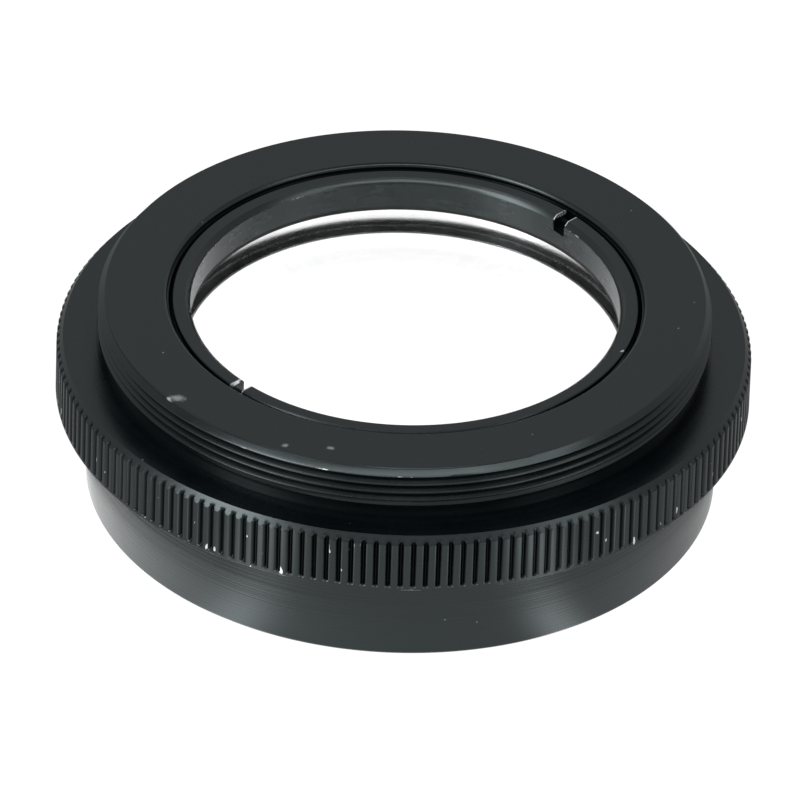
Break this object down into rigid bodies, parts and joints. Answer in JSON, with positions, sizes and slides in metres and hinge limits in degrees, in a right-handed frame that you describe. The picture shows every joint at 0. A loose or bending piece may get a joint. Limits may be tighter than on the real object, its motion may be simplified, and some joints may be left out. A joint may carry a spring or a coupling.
{
  "type": "barlow lens",
  "caption": "Low screw-in auxiliary lens: cemented doublet under a slotted retaining ring in a turned cell with a fine male thread, knurled grip and plain skirt.",
  "frame": {"origin": "centre of the skirt's bottom face, on which the lens stands", "axes": "+Z along the optical axis, towards the threaded boss; +X and +Y across it, with the spanner slots at 45 degrees between them"},
  "size_m": [0.0544, 0.0544, 0.0167],
  "materials": {
    "barrel_anodised": "black anodised, satin",
    "ring_anodised": "black anodised, satin",
    "washer_plastic": "matt",
    "crown_glass": "polished and coated",
    "optical_cement": "clear",
    "flint_glass": "polished and coated"
  },
  "bodies": {
    "lens_barrel": {"lens_barrel": "barrel_anodised", "crown_element": "crown_glass", "cement_layer": "optical_cement", "flint_element": "flint_glass"},
    "slip_washer": {"slip_washer": "washer_plastic"},
    "retaining_ring": {"retaining_ring": "ring_anodised"}
  },
  "joints": [
    {"name": "ring_turn", "type": "hinge", "parent": "lens_barrel", "child": "slip_washer", "pos_m": [0, 0, 0.01355], "axis": [0, 0, 1], "range_deg": [0, 1980]},
    {"name": "ring_lift", "type": "slide", "parent": "slip_washer", "child": "retaining_ring", "axis": [0, 0, 1], "range_m": [0, 0.00276]}
  ],
  "couplings": [
    {"joint": "ring_lift", "follows": "ring_turn", "m_per_rad": 0.000079577}
  ]
}
